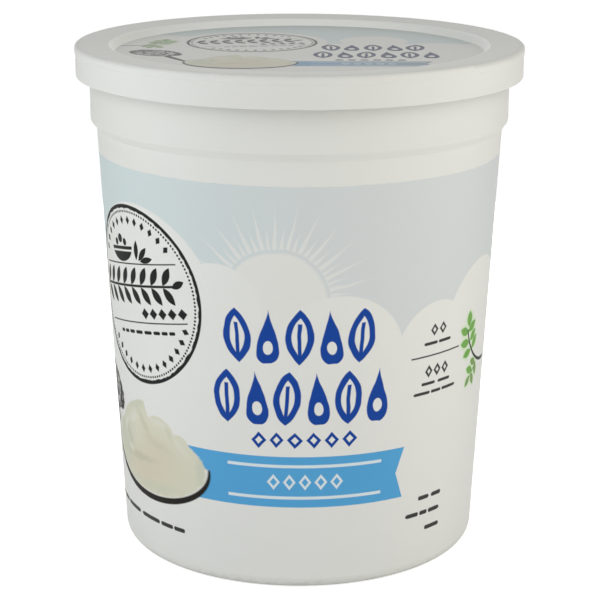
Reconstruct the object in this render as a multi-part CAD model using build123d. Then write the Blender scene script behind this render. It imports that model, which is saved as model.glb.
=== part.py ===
from build123d import *
import os

# A shut plastic pot for dairy food, with its press-on lid. Millimetres, +Z up.
# The origin is at the centre of the base, on the surface that the pot stands on,
# and the printed front faces -Y. The pot can't be seen into while it is shut,
# so the pot and its contents are one solid, filled up to the lid.

# Whole pack
HEIGHT = 131.5  # standing surface to the top of the lid's bead

# Pot
WALL_TOP_RADIUS = 52.3  # tapered wall where it meets the collar
WALL_FOOT_RADIUS = 46.6  # tapered wall carried on down to the standing surface
FOOT_ROUND = 3.3  # rounded edge between the wall and the foot ring
FOOT_RING_WIDTH = 3.0  # flat ring that the pot stands on
BASE_RECESS = 1.4  # how far the base is raised inside the foot ring
BASE_RECESS_RUN = 2.4  # width of the sloping side of that recess
BASE_ROUND = 0.8  # rounded edges of that slope
COLLAR_STEP = 1.5  # how far the collar stands out from the wall
COLLAR_HEIGHT = 11.0  # straight collar that shows below the lid
COLLAR_SLOPE = 2.0  # height of the slope from the collar in to the wall
COLLAR_ROUND = 1.0
RIM_STEP = 2.3  # how far the rolled rim, inside the lid, stands out from the collar
RIM_HEIGHT = 3.6
RIM_ROUND = 1.2

# Lid, which takes its radius from the rim that it grips
LID_WALL = 1.0
SKIRT_HEIGHT = 8.0  # top of the bead to the lower edge of the skirt
SKIRT_ROUND = 0.35
BEAD_PROUD = 0.2  # how far the bead stands out from the skirt
BEAD_WIDTH = 1.5  # level top of the bead, with its rounding
BEAD_HEIGHT = 1.9
BEAD_SLOPE = 0.5  # height over which the bead runs out into the skirt
BEAD_ROUND = 1.0
BORDER_WIDTH = 9.1  # raised border, from the bead's outside to the panel's step
BORDER_FALL = 0.4  # how much lower the border is at the step than at the bead
PANEL_DEPTH = 1.85  # step from the border down to the panel
STEP_RUN = 0.9  # how far the step slopes inwards
STEP_ROUND = 0.4
SNAP_HEIGHT = 1.2  # ridge inside the skirt that grips the rim from below
SNAP_DEPTH = 0.5

# Fits
LID_CLEARANCE = 0.2  # between the round faces of the lid and the pot
SNAP_CLEARANCE = 0.15  # between the ridge and the underside of the rim

# Heights
skirt_bottom = HEIGHT - SKIRT_HEIGHT
collar_bottom = skirt_bottom - COLLAR_HEIGHT
wall_top = collar_bottom - COLLAR_SLOPE
bead_bottom = HEIGHT - BEAD_HEIGHT
border_low = HEIGHT - BORDER_FALL
border_underside = border_low - LID_WALL
panel_top = border_low - PANEL_DEPTH
panel_underside = panel_top - LID_WALL
rim_bottom = border_underside - RIM_HEIGHT
snap_top = rim_bottom - SNAP_CLEARANCE
snap_bottom = snap_top - SNAP_HEIGHT

# Radii
collar_radius = WALL_TOP_RADIUS + COLLAR_STEP
rim_radius = collar_radius + RIM_STEP
skirt_inside = rim_radius + LID_CLEARANCE
snap_inside = skirt_inside - SNAP_DEPTH
skirt_outside = skirt_inside + LID_WALL
lid_radius = skirt_outside + BEAD_PROUD
bead_inside = lid_radius - BEAD_WIDTH
step_top_radius = lid_radius - BORDER_WIDTH
step_foot_radius = step_top_radius - STEP_RUN
plug_outside = step_top_radius + LID_WALL
rim_inside = plug_outside + LID_CLEARANCE
foot_ring_outside = WALL_FOOT_RADIUS - FOOT_ROUND
foot_ring_inside = foot_ring_outside - FOOT_RING_WIDTH
recess_radius = foot_ring_inside - BASE_RECESS_RUN


def turned(corners):
    """Solid turned about Z from a half section of (radius, height, rounding) corners."""
    points = [(radius, height) for radius, height, rounding in corners]
    roundings = [rounding for radius, height, rounding in corners]
    with BuildPart() as body:
        with BuildSketch(Plane.XZ):
            with BuildLine():
                FilletPolyline(*points, radius=roundings, close=True)
            make_face()
        revolve(axis=Axis.Z)
    return body.part


def make_pot():
    """Filled pot: recessed base, foot ring, tapered wall, collar and rolled rim."""
    return turned(
        [
            (0, BASE_RECESS, 0),
            (recess_radius, BASE_RECESS, BASE_ROUND),
            (foot_ring_inside, 0, BASE_ROUND),
            (WALL_FOOT_RADIUS, 0, FOOT_ROUND),
            (WALL_TOP_RADIUS, wall_top, 0),
            (collar_radius, collar_bottom, COLLAR_ROUND),
            (collar_radius, rim_bottom, 0),
            (rim_radius, rim_bottom, RIM_ROUND),
            (rim_radius, border_underside, RIM_ROUND),
            (rim_inside, border_underside, 0),
            (rim_inside, panel_underside, 0),
            (0, panel_underside, 0),
        ]
    )


def make_lid():
    """Moulded lid: sunk panel, raised border, bead, skirt and snap ridge."""
    return turned(
        [
            (0, panel_underside, 0),
            (plug_outside, panel_underside, 0),
            (plug_outside, border_underside, 0),
            (skirt_inside, border_underside, RIM_ROUND),
            (skirt_inside, snap_top, 0),
            (snap_inside, (snap_top + snap_bottom) / 2, 0),
            (skirt_inside, snap_bottom, 0),
            (skirt_inside, skirt_bottom, 0),
            (skirt_outside, skirt_bottom, SKIRT_ROUND),
            (skirt_outside, bead_bottom - BEAD_SLOPE, 0),
            (lid_radius, bead_bottom, 0),
            (lid_radius, HEIGHT, BEAD_ROUND),
            (bead_inside, HEIGHT, 0),
            (step_top_radius, border_low, STEP_ROUND),
            (step_foot_radius, panel_top, STEP_ROUND),
            (0, panel_top, 0),
        ]
    )


os.makedirs("parts", exist_ok=True)
for node, solid in {"pot": make_pot(), "lid": make_lid()}.items():
    export_step(solid, f"parts/{node}.step")
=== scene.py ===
import math

import bpy
from mathutils import Matrix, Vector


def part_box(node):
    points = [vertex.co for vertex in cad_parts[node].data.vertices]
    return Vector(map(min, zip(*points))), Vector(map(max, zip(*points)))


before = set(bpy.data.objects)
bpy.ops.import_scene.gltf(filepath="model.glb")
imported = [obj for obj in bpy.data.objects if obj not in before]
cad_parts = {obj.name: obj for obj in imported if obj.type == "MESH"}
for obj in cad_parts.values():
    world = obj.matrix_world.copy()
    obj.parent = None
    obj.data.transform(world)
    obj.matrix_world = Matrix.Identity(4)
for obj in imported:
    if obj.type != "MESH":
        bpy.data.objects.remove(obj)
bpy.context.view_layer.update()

bl_info = {
    "name": "Dairy Pot Looks",
    "version": (1, 0, 0),
    "blender": (4, 5, 0),
    "location": "View3D > Sidebar > Dairy Pot",
    "description": "Finishes a shut plastic dairy pot and its lid, and sets it on a plain stage",
    "category": "Material",
}

# The label is drawn in millimetres: "across" runs round the wall to the right from the
# middle of the front, measured at this radius, and "up" is the height above the base.
LABEL_RADIUS = 50.0
ROUND_THE_WALL = 2 * math.pi * LABEL_RADIUS
POT_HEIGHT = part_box("pot")[1].z
LID_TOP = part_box("lid")[1].z
LID_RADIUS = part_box("lid")[1].x
LABEL_FOOT = 3.0  # height of the label's lower edge

# Millimetres from the axis, on the lid: the label's edge, and the sloping step round it, which
# carries a painted highlight
LID_LABEL_RADIUS = 46.9
LID_STEP_RADIUS = 48.0
LID_STEP_HALF_WIDTH = 0.75


def shade(red, green, blue):
    """Linear colour of an everyday 0 to 255 one."""
    parts = [part / 255 for part in (red, green, blue)]
    return tuple(
        part / 12.92 if part <= 0.04045 else ((part + 0.055) / 1.055) ** 2.4 for part in parts
    )


# Shader maths


class Value:
    """A number that varies over a surface. Python expressions on it add Math nodes."""

    def __init__(self, finish, socket):
        self.finish = finish
        self.socket = socket

    def math(self, operation, *others, clamp=False):
        settings = {"operation": operation, "use_clamp": clamp}
        sockets = dict(enumerate((self, *others)))
        return Value(self.finish, self.finish.node("ShaderNodeMath", settings, sockets).outputs[0])

    def math_after(self, operation, first):
        settings = {"operation": operation}
        sockets = {0: first, 1: self}
        return Value(self.finish, self.finish.node("ShaderNodeMath", settings, sockets).outputs[0])

    def __add__(self, other):
        return self.math("ADD", other)

    def __radd__(self, other):
        return self.math("ADD", other)

    def __sub__(self, other):
        return self.math("SUBTRACT", other)

    def __rsub__(self, other):
        return self.math_after("SUBTRACT", other)

    def __mul__(self, other):
        return self.math("MULTIPLY", other)

    def __truediv__(self, other):
        return self.math("DIVIDE", other)

    def __neg__(self):
        return self.math("MULTIPLY", -1.0)

    def __abs__(self):
        return self.math("ABSOLUTE")

    def times_plus(self, factor, offset, clamp=False):
        return self.math("MULTIPLY_ADD", factor, offset, clamp=clamp)

    def floor(self):
        return self.math("FLOOR")

    def root(self):
        return self.math("SQRT")

    def sine(self):
        return self.math("SINE")

    def wrapped(self, size):
        return self.math("FLOORED_MODULO", size)

    def from_whole(self):
        """How far it is from the nearest whole number."""
        return self.math("PINGPONG", 0.5)

    def above(self, limit):
        return self.math("GREATER_THAN", limit)


def larger(first, *others):
    """The largest of several, worked out in Python while they are plain numbers."""
    for other in others:
        if isinstance(first, Value):
            first = first.math("MAXIMUM", other)
        elif isinstance(other, Value):
            first = other.math("MAXIMUM", first)
        else:
            first = max(first, other)
    return first


def smaller(first, *others):
    """The smallest of several."""
    for other in others:
        if isinstance(first, Value):
            first = first.math("MINIMUM", other)
        elif isinstance(other, Value):
            first = other.math("MINIMUM", first)
        else:
            first = min(first, other)
    return first


def length(across, up):
    """Distance from the origin to a point."""
    return up.times_plus(up, across * across).root()


def inside(distance, edge=0.16):
    """Mask that is 1 where distance is below 0, with a soft edge that wide."""
    return distance.times_plus(-1 / edge, 0.5, clamp=True)


class Place:
    """A point that varies over a surface: a vector socket."""

    def __init__(self, finish, socket):
        self.finish = finish
        self.socket = socket

    def parts(self):
        made = self.finish.node("ShaderNodeSeparateXYZ", {}, {0: self})
        return [Value(self.finish, socket) for socket in made.outputs]

    def distance(self, across, up):
        settings = {"operation": "DISTANCE"}
        made = self.finish.node("ShaderNodeVectorMath", settings, {0: self, 1: (across, up, 0)})
        return Value(self.finish, made.outputs["Value"])

    def scaled(self, factor):
        settings = {"operation": "SCALE"}
        made = self.finish.node("ShaderNodeVectorMath", settings, {0: self, "Scale": factor})
        return Place(self.finish, made.outputs[0])

    def moved_onto(self, across, up, turn, half_length, half_width):
        """The point in the frame of a small turned shape, in its half lengths."""
        sockets = {
            "Vector": self,
            "Location": (across, up, 0),
            "Rotation": (0, 0, math.radians(turn)),
            "Scale": (half_length, half_width, 1),
        }
        made = self.finish.node("ShaderNodeMapping", {"vector_type": "TEXTURE"}, sockets)
        return Place(self.finish, made.outputs[0])


class Finish:
    """A material's node tree, and the one method that adds nodes to it."""

    def __init__(self, owner):
        self.tree = owner.node_tree
        self.tree.nodes.clear()

    def node(self, kind, settings=None, sockets=None):
        made = self.tree.nodes.new(kind)
        for name, value in (settings or {}).items():
            setattr(made, name, value)
        for key, value in (sockets or {}).items():
            if isinstance(value, (Value, Place)):
                value = value.socket
            if isinstance(value, bpy.types.NodeSocket):
                self.tree.links.new(value, made.inputs[key])
            else:
                made.inputs[key].default_value = value
        return made

    def place(self, across, up):
        made = self.node("ShaderNodeCombineXYZ", {}, {"X": across, "Y": up})
        return Place(self, made.outputs[0])

    def surface_place(self):
        """The place on the object, in millimetres."""
        made = self.node("ShaderNodeTexCoord")
        return Place(self, made.outputs["Object"]).scaled(1000.0)

    def bearing(self, up, across):
        """Angle of a direction, in radians, from across towards up."""
        made = self.node("ShaderNodeMath", {"operation": "ARCTAN2"}, {0: up, 1: across})
        return Value(self, made.outputs[0])

    def noise(self, place, per_mm, detail=2.0, roughness=0.5):
        """Soft random value from 0 to 1, and the same as a colour."""
        sockets = {"Vector": place, "Scale": per_mm, "Detail": detail, "Roughness": roughness}
        made = self.node("ShaderNodeTexNoise", {"noise_dimensions": "3D"}, sockets)
        return Value(self, made.outputs[0]), Place(self, made.outputs[1])

    def painted(self, under, colour, mask):
        """One colour over another where the mask is 1."""
        settings = {"data_type": "RGBA", "clamp_factor": True}
        sockets = {0: mask}
        for key, value in ((6, under), (7, colour)):
            linked = isinstance(value, bpy.types.NodeSocket)
            sockets[key] = value if linked else (*value, 1.0)
        return self.node("ShaderNodeMix", settings, sockets).outputs[2]


# Artwork, each piece drawn about its own origin in label millimetres


def cloud_bank(place, up, floor, puffs):
    """Everything below the floor line, and round puffs above it."""
    depth = floor - up
    for across, height, radius in puffs:
        depth = larger(depth, radius - place.distance(across, height))
    return inside(-depth, 0.35)


def sun(finish, across, up):
    """Pale disc, and long and short rays that taper outwards."""
    ray_count = 28
    ray_start = 13.2
    ray_reach = 9.8
    away = length(across, up)
    turn = finish.bearing(across, up) * (ray_count / (2 * math.pi))
    off_axis = turn.from_whole()
    spacing = away * (2 * math.pi / ray_count)
    fade = (away - ray_start) / -ray_reach + 1.0
    long_ray = off_axis * spacing - fade * 0.58
    short_ray = (0.5 - off_axis) * spacing - (fade * 2.1 - 1.1) * 0.5
    rays = larger(smaller(long_ray, short_ray), ray_start - away)
    return inside(away - 12.3, 0.9), inside(rays, 0.4)


def diamond_row(across, up, pitch, count, half_width, half_height, stroke=None):
    """Row of diamonds about the origin, solid or in outline. Returns a distance."""
    step = across.times_plus(1 / pitch, count / 2)
    aside = abs(step.wrapped(1.0) - 0.5) * (pitch / half_width)
    size = abs(up).times_plus(1 / half_height, aside) - 1.0
    edge = size * (half_width * half_height / math.hypot(half_width, half_height))
    if stroke:
        edge = abs(edge + stroke / 2) - stroke / 2
    return larger(edge, abs(across) - pitch * count / 2)


def dash_row(across, up, left, right, height, thickness, count, uneven=0.3):
    """Row of round-ended dashes of uneven length between two ends. Returns a distance."""
    share = across.times_plus(1 / (right - left), left / (left - right))
    step = (share * (2 * math.pi)).sine().times_plus(uneven, share * count)
    to_gap = step.from_whole() * ((right - left) / count)
    past_end = larger(0.3 + thickness / 2 - to_gap, 0.0)
    dash = length(past_end, up - height) - thickness / 2
    return larger(dash, abs(share - 0.5) * (right - left) - (right - left) / 2)


def petal_rows(across, up):
    """Five hand-cut petals over six, leaf outlines and drops in turn."""
    upper = up.above(0.0)
    shifted = across + upper.times_plus(0.8, -0.4)
    step = shifted.times_plus(1 / 7.7, upper.times_plus(-0.5, 3.0))
    number = step.floor()
    height = up + upper.times_plus(-15.8, 7.9)
    lean = (number.times_plus(2.4, upper * 1.3)).sine() * 0.07
    aside = (step - number - 0.5).times_plus(7.7, height * lean)
    wide = abs(aside)
    leaf = length(wide + 5.4, height) - 8.85
    leaf = abs(leaf + 0.78) - 0.78
    rib = larger(wide - 0.5, abs(height + 1.6) - 5.0)
    leaf = smaller(leaf, rib)
    tall = height / 7.0
    waist = larger(1.0 - tall * tall, 0.0).root() * (1.0 - tall)
    drop = larger(wide - waist * 2.2, abs(height) - 6.8)
    heart = length(aside * 1.45, height + 2.7) - 1.75
    drop = larger(drop, -heart)
    shape = (drop - leaf).times_plus(number.wrapped(2.0), leaf)
    ends = abs(shifted) - upper.times_plus(-3.85, 23.1)
    return inside(larger(shape, ends), 0.22)


def seal(finish, across, up, grain):
    """Round stamp: rough ring, beads, small diamonds round it, two rules, a leafy
    branch between them and a bowl of berries above. Returns its paper and its ink."""
    bead_count = 140.0
    tick_count = 38.0
    tick_radius = 19.0
    away = length(across, up)
    turns = finish.bearing(up, across) * (1 / (2 * math.pi))
    ring = abs(grain.times_plus(0.5, away - 22.5)) - grain.times_plus(0.5, 0.5)
    bead = length((turns * bead_count).from_whole() * 0.96, away - 21.2) - 0.31
    lean = math.radians(10)
    along = across.times_plus(math.cos(lean), up * math.sin(lean))
    above = up.times_plus(math.cos(lean), across * -math.sin(lean))
    off_tick = (turns * tick_count).from_whole() * (3.17 / 0.85)
    ticks = off_tick + abs(away - tick_radius) / 1.15 - 1.0
    tick_turn = turns.times_plus(tick_count, 0.5).floor()
    tick_turn = tick_turn.times_plus(2 * math.pi / tick_count, -lean)
    ticks = larger(ticks * 0.69, 9.4 - abs(tick_turn.sine().times_plus(tick_radius, -0.4)))
    rules = larger(abs(abs(above - 0.4) - 7.5) - 0.17, away - 19.2)
    off_stem = abs(above - 2.3)
    cell = ((along * (1 / 4.4) + 0.5).wrapped(1.0) - 0.5).times_plus(4.4, -0.3)
    leaf_up = off_stem - 2.5
    leaf_along = cell * math.cos(0.95) + leaf_up * math.sin(0.95)
    leaf_aside = leaf_up * math.cos(0.95) - cell * math.sin(0.95)
    blade = abs(leaf_aside) + leaf_along * leaf_along * 0.15 - 1.15
    blade = larger(blade, abs(along + 2.2) - 17.6)
    stem = larger(off_stem - 0.32, abs(along + 2.2) - 17.8)
    place = finish.place(along, above)
    sprout = [
        (16.9, 2.7, 20, 2.2, 0.95),
        (3.6, 11.4, 78, 2.6, 0.9),
        (6.0, 10.4, 40, 2.6, 0.85),
        (7.2, 8.9, 8, 2.6, 0.8),
    ]
    lozenges = diamond_row(along - 10.0, above + 4.7, 3.4, 5, 1.5, 1.45)
    bowl_up = above - 12.3
    bowl = (length((along + 4.0) / 5.8, bowl_up / 3.9) - 1.0) * 3.9
    bowl = larger(bowl, bowl_up, 0.24 - abs(bowl_up + 1.1))
    berries = smaller(
        length(abs(along + 4.0) - 2.4, bowl_up - 1.1) - 0.95,
        length(along + 4.0, bowl_up - 2.0) - 1.15,
    )
    small_print = dash_row(along, above, -11.5, 13.5, -9.6, 0.9, 8)
    ink = smaller(ring, bead, ticks, rules, blade, stem, leaves(place, sprout), lozenges)
    ink = smaller(ink, bowl, berries, small_print)
    return inside(away - 23.1, 0.3), inside(ink, 0.2)


def ribbon(across, up, left, right):
    """Flat band with a notch in each end, two thin lines and a row of diamonds."""
    lift = abs(up)
    notch = lift.times_plus(-2.4 / 6.75, 2.4)
    band = larger(lift - 6.75, across + notch - right, left + notch - across)
    lines = larger(abs(lift - 4.2) - 0.4, abs(across) - 20.3)
    marks = diamond_row(across, up, 4.1, 5, 1.65, 2.1, 0.6)
    return inside(band), inside(smaller(lines, marks))


def blots(finish, place, base, spots):
    """Soft ovals of colour over a base, each given by its middle, turn, half length,
    half width, colour and strength."""
    for across, up, turn, half_length, half_width, colour, strength in spots:
        along, aside, _ = place.moved_onto(across, up, turn, half_length, half_width).parts()
        mask = inside(length(along, aside) - 0.75, 0.9)
        base = finish.painted(base, colour, mask * strength)
    return base


def spoonful(finish, across, up, grain, colours, handle):
    """A heaped spoon: dark underside, bright lip, cream mound and a pierced handle.
    Returns layers of colour and mask, lowest first."""
    place = finish.place(across, up)
    outer = (length(across / 22.3, up / 11.7) - 1.0) * 11.7
    inner = (length(across / 21.5, (up - 0.9) / 10.9) - 1.0) * 10.9
    below_lip = across.times_plus(0.15, up - 4.6)
    underside = inside(larger(outer, below_lip), 0.25)
    lip = inside(larger(inner, below_lip), 0.3)
    heap = (length(across / 20.8, (up - 0.2) / 9.9) - 1.0) * 9.9
    hump = (length(*place.moved_onto(4.8, 6.2, 0, 6.6, 6.0).parts()[:2]) - 1.0) * 6.0
    knob = (length(*place.moved_onto(12.0, 5.6, 0, 3.9, 3.2).parts()[:2]) - 1.0) * 3.2
    ridge = (length(*place.moved_onto(-6.3, 10.1, 25, 9.0, 3.3).parts()[:2]) - 1.0) * 3.3
    ridge = larger(ridge, up.times_plus(0.36, across - 4.3))
    mound = inside(smaller(heap, hump, knob, ridge) + grain * 0.8, 0.35)
    spots = [
        (-1.0, -3.0, 8, 17.0, 7.5, colours.cream_warm, 0.85),
        (4.0, 3.5, -20, 8.0, 4.5, colours.cream_warm, 0.6),
        (-15.0, 2.0, 70, 9.0, 7.0, colours.cream_cool, 0.9),
        (-5.5, 13.2, 18, 6.5, 1.9, colours.cream_cool, 0.8),
        (19.2, 0.2, 80, 5.5, 1.6, colours.cream_cool, 0.8),
        (2.0, -7.6, 4, 15.0, 1.5, colours.cream_cool, 0.6),
        (-5.0, -1.2, 4, 9.5, 1.2, colours.cream_fold, 0.6),
        (-1.8, 8.9, -48, 4.6, 1.3, colours.cream_fold, 0.45),
        (-10.5, 2.6, 118, 5.0, 1.2, colours.cream_fold, 0.5),
        (9.2, 8.2, -58, 2.8, 1.1, colours.cream_fold, 0.3),
        (4.0, 4.4, -12, 6.5, 1.3, colours.cream_fold, 0.25),
        (-7.4, 9.0, 25, 3.2, 1.5, colours.cream_gleam, 0.9),
        (-12.8, 5.8, 62, 3.0, 0.9, colours.cream_gleam, 0.9),
        (-9.8, -0.3, -25, 1.9, 1.2, colours.cream_gleam, 0.9),
        (5.0, 10.4, -4, 4.6, 1.0, colours.cream_gleam, 0.6),
        (13.0, 5.6, -35, 4.0, 0.9, colours.cream_gleam, 0.5),
    ]
    stirred = finish.place(grain.times_plus(2.4, across), grain.times_plus(-1.6, up))
    cream = blots(finish, stirred, colours.cream, spots)
    run, rise = handle[0] + 20.5, handle[1] - 1.0
    reach = math.hypot(run, rise) / 2
    slope = math.degrees(math.atan2(rise, run))
    neck_at = place.moved_onto(handle[0] - run / 2, handle[1] - rise / 2, slope, reach, 1.15)
    neck = length(*neck_at.parts()[:2]) - 1.0
    end = length(*place.moved_onto(*handle, -18, 11.0, 6.0).parts()[:2])
    grip = inside(smaller(neck, end - 1.0 + grain * 0.3), 0.08)
    piercing = inside(0.24 - (end * 2.4 + grain * 2.2).from_whole(), 0.12)
    pale = piercing * inside(end - 0.87, 0.08)
    metal = finish.painted(colours.spoon, colours.spoon_light, pale * 0.85)
    return [
        (metal, grip),
        (colours.spoon, underside),
        (colours.spoon_lip, lip),
        (cream, mound),
    ]


def leaves(place, blades):
    """Pointed leaves, each given by its middle, turn, half length and half width."""
    nearest = None
    for blade in blades:
        along, aside, _ = place.moved_onto(*blade).parts()
        shape = along.times_plus(along, abs(aside))
        nearest = shape if nearest is None else smaller(nearest, shape)
    return nearest - 1.0


def sprig(finish, across, up, colours):
    """Leafy sprig on a dark bent stem."""
    place = finish.place(across, up)
    green = [
        (-3.4, 8.7, 90, 2.15, 1.35),
        (-5.7, 5.8, 158, 2.2, 1.1),
        (-1.6, 6.4, 27, 2.3, 1.15),
        (-0.7, 3.9, 40, 2.0, 1.1),
        (0.5, 1.8, 49, 2.15, 1.15),
        (-5.1, 2.5, 176, 2.3, 1.15),
        (-3.6, -0.5, 192, 2.2, 1.1),
        (-1.3, -5.5, 161, 2.1, 1.05),
    ]
    olive = [
        (0.7, -3.8, 157, 2.0, 1.0),
        (2.7, -6.1, -72, 2.0, 1.0),
        (-2.2, -8.4, 223, 1.8, 0.9),
        (0.9, -8.4, -65, 1.9, 0.95),
        (0.6, -6.4, 219, 4.0, 0.25),
    ]
    bend = abs(place.distance(9.8, 9.2) - 14.15)
    stem = bend - across.times_plus(0.018, 0.34)
    stem = larger(stem, up - 6.0, across - 11.0)
    green = leaves(place, green)
    olive = leaves(place, olive)
    return [
        (colours.leaf_glow, inside(smaller(green, olive) - 0.5, 1.1) * 0.8),
        (colours.olive, inside(olive, 0.2)),
        (colours.green, inside(green, 0.2)),
        (colours.stem, inside(stem, 0.2)),
    ]


def back_panel(across, up):
    """Ruled panel of short bars for the back of the pot. Returns a distance."""
    frame_edge = larger(abs(across) - 24.0, abs(up) - 30.0)
    outline = abs(frame_edge) - 0.25
    step = up.times_plus(1 / 4.4, 0.5)
    number = step.floor()
    aside = abs(step.wrapped(1.0) - 0.5) * 4.4
    rule = larger(2.1 - aside, frame_edge)
    bar_end = (number * 2.7).sine() * 5.0
    bar = larger(aside - 0.55, across - bar_end + 2.0, -21.0 - across)
    amount = larger(aside - 0.55, 15.5 - across, across - 21.0 + bar_end * 0.25)
    rows = smaller(bar, amount, rule)
    return smaller(outline, larger(rows, frame_edge + 1.2))


# Plastic


def plastic(finish, place, settings, gloss, colour, roughness):
    """Moulded plastic with a soft sheen: fine skin grain, faint flow marks and slight
    changes of gloss. colour and roughness already hold the print."""
    skin, _ = finish.noise(place, 1.1, 3.0, 0.6)
    flow, _ = finish.noise(place, 0.06, 2.0, 0.5)
    height = skin.times_plus(0.25, flow)
    bump_sockets = {
        "Strength": settings.grain_strength,
        "Distance": settings.grain_depth,
        "Height": height,
    }
    bump = finish.node("ShaderNodeBump", {}, bump_sockets)
    shader_sockets = {
        "Base Color": colour,
        "Roughness": roughness,
        "IOR": 1.5,
        "Specular IOR Level": gloss,
        "Normal": bump.outputs[0],
    }
    shader = finish.node("ShaderNodeBsdfPrincipled", {}, shader_sockets)
    finish.node("ShaderNodeOutputMaterial", {}, {"Surface": shader.outputs[0]})


def tinted_plastic(finish, settings, soft):
    """Plastic colour with slow, faint changes of tone."""
    return finish.painted(settings.colour, settings.shaded_colour, soft * 0.6)


def assign(node_name, material):
    """Puts a material in the material slots of a CAD node."""
    for material_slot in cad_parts[node_name].material_slots:
        material_slot.material = material


def new_finish(name):
    material = bpy.data.materials.new(name)
    material.use_nodes = True
    return material, Finish(material)


# Settings


def colour_property(name, description, red, green, blue):
    return bpy.props.FloatVectorProperty(
        name=name,
        description=description,
        subtype="COLOR",
        size=3,
        min=0.0,
        max=1.0,
        default=shade(red, green, blue),
    )


def share_property(name, description, default):
    return bpy.props.FloatProperty(
        name=name, description=description, subtype="FACTOR", min=0.0, max=1.0, default=default
    )


class DairyPotPlastic(bpy.types.PropertyGroup):
    """White moulded plastic of the pot and the lid."""

    colour: colour_property("Colour", "Plastic where nothing is printed", 226, 226, 222)
    shaded_colour: colour_property("Flow colour", "Faint darker flow in the plastic", 220, 220, 214)
    scuff_colour: colour_property("Scuff colour", "Rubbed edges of foot and bead", 196, 196, 190)
    # Painted highlight: a lighter colour for the lid's sloping step, standing in for the light it
    # catches
    step_highlight_colour: colour_property("Step colour", "Paler, thinner bend of the lid", 246, 246, 242)
    roughness: share_property("Roughness", "Roughness of the bare plastic", 0.6)
    print_roughness: share_property("Print roughness", "Roughness of the printed wall", 0.55)
    panel_roughness: share_property("Panel roughness", "Roughness of the lid's panel", 0.4)
    gloss: share_property("Gloss", "Strength of the pot's reflections", 0.06)
    lid_gloss: share_property("Lid gloss", "Strength of the lid's reflections", 0.08)
    grain_strength: share_property("Grain strength", "How much the skin grain shows", 0.25)
    grain_depth: bpy.props.FloatProperty(
        name="Grain depth",
        description="Depth of the skin grain",
        unit="LENGTH",
        min=0.0,
        default=0.00012,
    )


class DairyPotPrint(bpy.types.PropertyGroup):
    """Inks of the label and where its top edge is."""

    top_edge: bpy.props.FloatProperty(
        name="Top edge",
        description="Height of the label's top edge",
        unit="LENGTH",
        min=0.0,
        max=POT_HEIGHT,
        default=0.1045,
    )
    sky: colour_property("Sky", "Blue-grey sky", 209, 213, 213)
    sky_deep: colour_property("Deep sky", "Cooler part of the sky", 203, 214, 214)
    cloud: colour_property("Cloud", "Cloud and open paper", 226, 226, 222)
    sun: colour_property("Sun", "Disc of the sun", 224, 224, 219)
    headline: colour_property("Headline", "Dark blue of the large shapes", 26, 68, 152)
    band: colour_property("Band", "Blue of the ribbon", 87, 163, 213)
    band_mark: colour_property("Band marks", "Pale lines on the ribbon", 216, 226, 230)
    ink: colour_property("Ink", "Near-black of the seal", 32, 32, 32)
    small: colour_property("Small print", "Dark grey of the small bars", 60, 60, 58)
    cream: colour_property("Cream", "Mound on the spoon", 213, 211, 192)
    cream_warm: colour_property("Warm cream", "Lower part of the mound", 209, 202, 181)
    cream_cool: colour_property("Cool cream", "Shaded left of the mound", 200, 203, 184)
    cream_fold: colour_property("Folds", "Folds in the mound", 188, 187, 164)
    cream_gleam: colour_property("Gleam", "Lightest spots of the mound", 219, 219, 206)
    spoon: colour_property("Spoon", "Dark metal of the spoon", 34, 32, 28)
    spoon_light: colour_property("Spoon light", "Light in the handle's piercings", 190, 190, 188)
    spoon_lip: colour_property("Spoon lip", "Bright lip of the spoon", 224, 224, 219)
    green: colour_property("Leaf", "Fresh leaves", 114, 164, 82)
    olive: colour_property("Old leaf", "Darker lower leaves", 122, 152, 92)
    leaf_glow: colour_property("Leaf glow", "Pale green round the leaves", 190, 219, 168)
    stem: colour_property("Stem", "Dark stem", 40, 44, 38)
    # Painted reflection veil: a grey mixed over the lid's print, lifting its darks and dulling its
    # whites, standing in for the reflection that washes it out
    painted_veil: colour_property("Haze", "Milky film over the lid's print", 150, 149, 140)
    painted_veil_share: share_property("Haze share", "How much the milky film hides", 0.22)
    slate_share: share_property("Slate share", "How grey the lid's large shapes are", 0.72)


class DairyPotStage(bpy.types.PropertyGroup):
    """Floor, lamps and camera."""

    floor_size: bpy.props.FloatProperty(
        name="Floor size", description="Side of the floor", unit="LENGTH", min=1.0, default=12.0
    )
    lamp_power: bpy.props.FloatProperty(
        name="Lamp power",
        description="Power of each side lamp",
        unit="POWER",
        min=0.0,
        default=0.235,
    )
    lamp_bearing: bpy.props.FloatProperty(
        name="Lamp bearing",
        description="Angle of each side lamp from straight ahead",
        subtype="ANGLE",
        default=math.radians(47),
    )
    lamp_distance: bpy.props.FloatProperty(
        name="Lamp distance", description="Side lamp to axis", unit="LENGTH", min=0.1, default=0.2
    )
    back_power: bpy.props.FloatProperty(
        name="Back lamp power",
        description="Power of the wide lamp behind",
        unit="POWER",
        min=0.0,
        default=1.3,
    )
    lamp_height: bpy.props.FloatProperty(
        name="Lamp height", description="Height of the lamps' tops", unit="LENGTH", default=0.34
    )
    fill: bpy.props.FloatProperty(
        name="Fill", description="Even light from all round", min=0.0, default=0.36
    )
    floor_white: bpy.props.FloatProperty(
        name="Floor white",
        description="How much of the floor's white the camera sees without light",
        min=0.0,
        default=0.72,
    )
    lens: bpy.props.FloatProperty(
        name="Lens", description="Focal length on a 36 mm sensor", unit="CAMERA", default=115.69
    )


# Pieces


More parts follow.
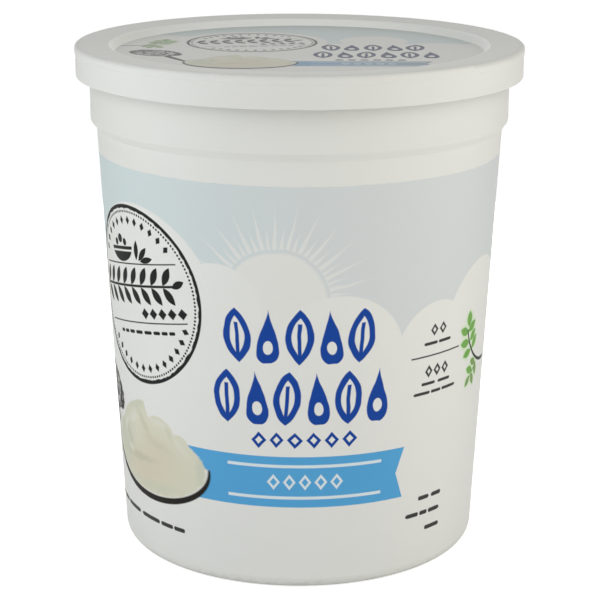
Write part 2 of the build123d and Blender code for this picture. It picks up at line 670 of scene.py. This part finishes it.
class DAIRYPOT_OT_pot(bpy.types.Operator):
    """Finish the pot: white plastic, and the label printed round its tapered wall"""

    bl_idname = "dairypot.pot"
    bl_label = "Finish the Pot"
    bl_options = {"REGISTER", "UNDO"}

    def execute(self, context):
        settings = context.scene.dairypot_plastic
        inks = context.scene.dairypot_print
        material, finish = new_finish("pot_plastic_printed")
        spot = finish.surface_place()
        x, y, up = spot.parts()
        across = finish.bearing(x, -y) * LABEL_RADIUS
        grain, _ = finish.noise(spot, 0.55, 2.0)
        _, warp = finish.noise(spot, 0.2, 1.0)
        soft, _ = finish.noise(spot, 0.035, 1.0)
        warp_x, warp_y, _ = warp.parts()
        cut_x = across + warp_x.times_plus(0.8, -0.4)
        cut_up = up + warp_y.times_plus(0.8, -0.4)
        rough = grain - 0.5
        on_label = inside(rough.times_plus(0.5, up - inks.top_edge * 1000), 0.3)

        to_left = inside(x + 16.0, 52.0)
        sky = finish.painted(inks.sky, inks.sky_deep, to_left)
        disc, rays = sun(finish, cut_x + 5.6, cut_up - 76.0)
        label = finish.painted(sky, inks.cloud, rays * 0.75)
        label = finish.painted(label, inks.sun, disc)
        place = finish.place(across, up)
        puffs = [
            (10.0, 59.9, 17.4),
            (38.0, 60.1, 12.7),
            (58.0, 63.3, 16.7),
            (-45.5, 70.5, 25.4),
            (-20.5, 73.0, 11.6),
            (84.0, 62.0, 15.5),
            (108.0, 58.5, 18.5),
            (136.0, 62.0, 14.0),
            (-84.0, 63.0, 15.0),
            (-110.0, 58.0, 19.0),
            (-134.0, 63.5, 12.5),
            (157.0, 60.0, 16.0),
            (-157.0, 60.0, 16.0),
        ]
        cloud = cloud_bank(place, up, 65.5, puffs)
        label = finish.painted(label, inks.cloud, cloud)

        paper, ink = seal(finish, across + 47.4, up - 72.0, rough)
        label = finish.painted(label, inks.cloud, paper)
        label = finish.painted(label, inks.ink, ink)

        band, marks = ribbon(cut_x * 0.3 + across * 0.7 - 1.75, up - 29.25, -33.15, 27.05)
        label = finish.painted(label, inks.band, band)
        label = finish.painted(label, inks.band_mark, marks)
        spoon = spoonful(finish, across + 45.9, up - 29.0, rough, inks, (-24.5, 14.0))
        for colour, mask in spoon:
            label = finish.painted(label, colour, mask)
        label = finish.painted(label, inks.headline, petal_rows(cut_x - 0.65, cut_up - 59.1))
        chain = diamond_row(cut_x - 1.45, cut_up - 40.35, 4.65, 6, 1.9, 2.15, 0.75)
        label = finish.painted(label, inks.headline, inside(chain))

        small = larger(abs(up - 58.8) - 0.2, abs(across - 38.6) - 8.9)
        rows = [
            (33.2, 43.8, 62.0, 0.8, 2, -0.1),
            (33.2, 44.1, 51.5, 0.8, 2, 0.12),
            (30.4, 47.0, 49.1, 0.8, 3, -0.2),
            (34.3, 43.6, 20.6, 1.15, 2, 0.1),
            (29.8, 43.6, 16.4, 1.15, 3, -0.2),
            (37.2, 43.6, 11.9, 1.15, 1, 0.0),
            (-72.0, -32.6, 11.8, 1.15, 6, 0.5),
        ]
        for row in rows:
            small = smaller(small, dash_row(across, up, *row))
        small = smaller(small, diamond_row(across - 38.5, up - 65.4, 3.1, 2, 1.3, 1.6, 0.55))
        small = smaller(small, diamond_row(across - 38.7, up - 54.7, 3.0, 3, 1.3, 1.7, 0.6))
        behind = across.wrapped(ROUND_THE_WALL) - ROUND_THE_WALL / 2
        small = smaller(small, back_panel(behind, up - 40.0))
        label = finish.painted(label, inks.small, inside(small, 0.2))
        for colour, mask in sprig(finish, across - 56.0, up - 56.0, inks):
            label = finish.painted(label, colour, mask)

        bare = tinted_plastic(finish, settings, soft)
        foot = inside(rough.times_plus(4.0, up - 1.2), 1.5)
        bare = finish.painted(bare, settings.scuff_colour, foot * 0.5)
        colour = finish.painted(bare, label, on_label * up.above(LABEL_FOOT))
        step = settings.print_roughness - settings.roughness
        roughness = on_label.times_plus(step, settings.roughness) + rough * 0.12
        plastic(finish, spot, settings, settings.gloss, colour, roughness)
        assign("pot", material)
        return {"FINISHED"}


class DAIRYPOT_OT_lid(bpy.types.Operator):
    """Finish the lid: white plastic, and the label printed on its sunk panel"""

    bl_idname = "dairypot.lid"
    bl_label = "Finish the Lid"
    bl_options = {"REGISTER", "UNDO"}

    def execute(self, context):
        settings = context.scene.dairypot_plastic
        inks = context.scene.dairypot_print
        material, finish = new_finish("lid_plastic_printed")
        spot = finish.surface_place()
        x, y, up = spot.parts()
        grain, _ = finish.noise(spot, 0.55, 2.0)
        _, warp = finish.noise(spot, 0.2, 1.0)
        soft, _ = finish.noise(spot, 0.035, 1.0)
        warp_x, warp_y, _ = warp.parts()
        cut_x = x + warp_x.times_plus(0.6, -0.3)
        cut_y = y + warp_y.times_plus(0.6, -0.3)
        rough = grain - 0.5
        away = length(x, y)
        on_panel = inside(rough.times_plus(0.6, away - LID_LABEL_RADIUS), 0.4)

        place = finish.place(x, y)
        puffs = [(-12.5, 14.0, 19.8), (-38.0, 14.0, 13.0), (19.5, 16.5, 9.0), (36.0, 2.0, 11.0)]
        cloud = cloud_bank(place, y, 11.5, puffs)
        label = finish.painted(inks.sky_deep, inks.cloud, cloud)
        paper, ink = seal(finish, (x + 12.5) / 0.75, (y - 13.5) / 0.77, rough)
        label = finish.painted(label, inks.cloud, paper)
        label = finish.painted(label, inks.ink, ink)
        band, marks = ribbon((cut_x - 17.0) / 0.7, (y + 23.6) / 0.6, -27.0, 22.8)
        # Painted glare: the lid's ribbon is greyed more and more towards the right
        band_with_painted_glare = finish.painted(inks.band, inks.painted_veil, x.times_plus(0.009, 0.42))
        label = finish.painted(label, band_with_painted_glare, band)
        label = finish.painted(label, inks.band_mark, marks)
        spoon_x = (x + 14.5) / 0.64
        spoon_y = (y + 22.3) / 0.86
        for colour, mask in spoonful(finish, spoon_x, spoon_y, rough, inks, (-34.5, 18.5)):
            label = finish.painted(label, colour, mask)
        petals = petal_rows((cut_x - 19.3) / 0.71, (cut_y + 2.2) / 0.8)
        slate = finish.painted(inks.headline, inks.ink, inks.slate_share)
        label = finish.painted(label, slate, petals)
        chain = diamond_row(cut_x - 17.6, cut_y + 17.4, 3.1, 6, 1.3, 1.5, 0.55)
        label = finish.painted(label, slate, inside(chain))
        small = dash_row(x, y, -18.0, -9.5, -39.0, 0.7, 3)
        label = finish.painted(label, inks.small, inside(small, 0.2))
        for colour, mask in sprig(finish, (x + 38.0) / -0.78, (y - 10.5) / 0.78, inks):
            # Painted reflection veil: the lid's sprig colours are mixed toward grey
            colour_with_painted_veil = finish.painted(colour, inks.painted_veil, 0.35)
            label = finish.painted(label, colour_with_painted_veil, mask)

        # Painted reflection veil: the whole lid label is mixed toward grey
        label = finish.painted(label, inks.painted_veil, inks.painted_veil_share)
        bare = tinted_plastic(finish, settings, soft)
        rubbed = inside(rough.times_plus(2.0, LID_TOP * 1000 - up - 0.1), 1.0)
        rubbed = rubbed * inside(LID_RADIUS * 1000 - 1.2 - away, 1.0)
        bare = finish.painted(bare, settings.scuff_colour, rubbed * 0.18)
        # Painted highlight: the sloping step round the panel is made lighter in colour
        bend = inside(abs(away - LID_STEP_RADIUS) - LID_STEP_HALF_WIDTH, 0.35)
        bare = finish.painted(bare, settings.step_highlight_colour, bend)
        colour = finish.painted(bare, label, on_panel)
        step = settings.panel_roughness - settings.roughness
        roughness = on_panel.times_plus(step, settings.roughness) + rough * 0.12
        plastic(finish, spot, settings, settings.lid_gloss, colour, roughness)
        assign("lid", material)
        return {"FINISHED"}


# Stage

FLOOR_DROP = 0.0001  # metres below the foot ring, so that the two faces never coincide
FLOOR_SHADE = (238, 238, 238)
LEFT_LIGHT = (0.955, 0.985, 1.0)
RIGHT_LIGHT = (1.0, 0.985, 0.93)
BACK_LIGHT = (1.0, 1.0, 0.98)

# Where the camera stands, in metres, and how far it looks down and leans, in radians
CAMERA_PLACE = (0.000293, -0.494, 0.19996)
CAMERA_DOWN = 0.2712
CAMERA_LEAN = 0.0029


def seen_directly(finish):
    """1 for what the camera sees, straight, mirrored or through glass."""
    path = finish.node("ShaderNodeLightPath")
    kinds = ("Is Camera Ray", "Is Glossy Ray", "Is Transmission Ray")
    seen = [Value(finish, path.outputs[kind]) for kind in kinds]
    return larger(*seen)


class DAIRYPOT_OT_stage(bpy.types.Operator):
    """Set the stage: white floor and surroundings, three soft lamps and the camera"""

    bl_idname = "dairypot.stage"
    bl_label = "Set the Stage"
    bl_options = {"REGISTER", "UNDO"}

    def execute(self, context):
        settings = context.scene.dairypot_stage
        self.make_floor(context, settings)
        self.make_world(context, settings)
        tall = (0.1, settings.lamp_height)
        turn, away, power = settings.lamp_bearing, settings.lamp_distance, settings.lamp_power
        self.make_lamp(context, "left_lamp", -turn, away, tall, power, LEFT_LIGHT)
        self.make_lamp(context, "right_lamp", turn, away, tall, power, RIGHT_LIGHT)
        wide = (0.5, settings.lamp_height)
        power = settings.back_power
        self.make_lamp(context, "back_lamp", math.pi, away * 2, wide, power, BACK_LIGHT)
        self.make_camera(context, settings)
        context.scene.view_settings.view_transform = "Standard"
        return {"FINISHED"}

    def make_floor(self, context, settings):
        half = settings.floor_size / 2
        low = -FLOOR_DROP
        corners = [(-half, -half, low), (half, -half, low), (half, half, low), (-half, half, low)]
        mesh = bpy.data.meshes.new("floor")
        mesh.from_pydata(corners, [], [(0, 1, 2, 3)])
        floor = bpy.data.objects.new("floor", mesh)
        context.scene.collection.objects.link(floor)
        material, finish = new_finish("floor_white")
        diffuse_sockets = {"Color": (*shade(*FLOOR_SHADE), 1.0)}
        diffuse = finish.node("ShaderNodeBsdfDiffuse", {}, diffuse_sockets)
        glow_sockets = {"Strength": seen_directly(finish) * settings.floor_white}
        glow = finish.node("ShaderNodeEmission", {}, glow_sockets)
        both = finish.node("ShaderNodeAddShader", {}, {0: diffuse.outputs[0], 1: glow.outputs[0]})
        finish.node("ShaderNodeOutputMaterial", {}, {"Surface": both.outputs[0]})
        mesh.materials.append(material)

    def make_world(self, context, settings):
        world = bpy.data.worlds.new("plain_surroundings")
        world.use_nodes = True
        context.scene.world = world
        finish = Finish(world)
        strength = seen_directly(finish).times_plus(1.0 - settings.fill, settings.fill)
        sockets = {"Color": (1.0, 1.0, 1.0, 1.0), "Strength": strength}
        background = finish.node("ShaderNodeBackground", {}, sockets)
        finish.node("ShaderNodeOutputWorld", {}, {"Surface": background.outputs[0]})

    def make_lamp(self, context, name, turn, away, size, power, colour):
        """A soft box that stands on the floor and faces the pot's axis."""
        lamp = bpy.data.lights.new(name, "AREA")
        lamp.shape = "RECTANGLE"
        lamp.size, lamp.size_y = size
        lamp.energy = power
        lamp.color = colour
        held = bpy.data.objects.new(name, lamp)
        spot = (away * math.sin(turn), -away * math.cos(turn), size[1] / 2)
        held.matrix_world = (
            Matrix.Translation(spot)
            @ Matrix.Rotation(turn, 4, "Z")
            @ Matrix.Rotation(math.pi / 2, 4, "X")
        )
        held.visible_camera = False
        held.visible_glossy = name != "back_lamp"
        context.scene.collection.objects.link(held)

    def make_camera(self, context, settings):
        camera = bpy.data.cameras.new("camera")
        camera.sensor_width = 36.0
        camera.lens = settings.lens
        camera.clip_start = 0.01
        held = bpy.data.objects.new("camera", camera)
        held.matrix_world = (
            Matrix.Translation(CAMERA_PLACE)
            @ Matrix.Rotation(math.pi / 2 - CAMERA_DOWN, 4, "X")
            @ Matrix.Rotation(CAMERA_LEAN, 4, "Z")
        )
        context.scene.collection.objects.link(held)
        context.scene.camera = held


class DAIRYPOT_PT_panel(bpy.types.Panel):
    """Sizes and colours of the pot, and the buttons that build its looks"""

    bl_label = "Dairy Pot"
    bl_idname = "DAIRYPOT_PT_panel"
    bl_space_type = "VIEW_3D"
    bl_region_type = "UI"
    bl_category = "Dairy Pot"

    def draw(self, context):
        scene = context.scene
        for title, settings, button in (
            ("Plastic", scene.dairypot_plastic, "dairypot.pot"),
            ("Print", scene.dairypot_print, "dairypot.lid"),
            ("Stage", scene.dairypot_stage, "dairypot.stage"),
        ):
            box = self.layout.box()
            box.label(text=title)
            for name in settings.__annotations__:
                box.prop(settings, name)
            box.operator(button)


CLASSES = (
    DairyPotPlastic,
    DairyPotPrint,
    DairyPotStage,
    DAIRYPOT_OT_pot,
    DAIRYPOT_OT_lid,
    DAIRYPOT_OT_stage,
    DAIRYPOT_PT_panel,
)


def register():
    for each in CLASSES:
        bpy.utils.register_class(each)
    scene_type = bpy.types.Scene
    scene_type.dairypot_plastic = bpy.props.PointerProperty(type=DairyPotPlastic)
    scene_type.dairypot_print = bpy.props.PointerProperty(type=DairyPotPrint)
    scene_type.dairypot_stage = bpy.props.PointerProperty(type=DairyPotStage)


def unregister():
    del bpy.types.Scene.dairypot_stage
    del bpy.types.Scene.dairypot_print
    del bpy.types.Scene.dairypot_plastic
    for each in reversed(CLASSES):
        bpy.utils.unregister_class(each)


def main():
    register()
    bpy.ops.dairypot.pot()
    bpy.ops.dairypot.lid()
    bpy.ops.dairypot.stage()


if __name__ == "__main__":
    main()
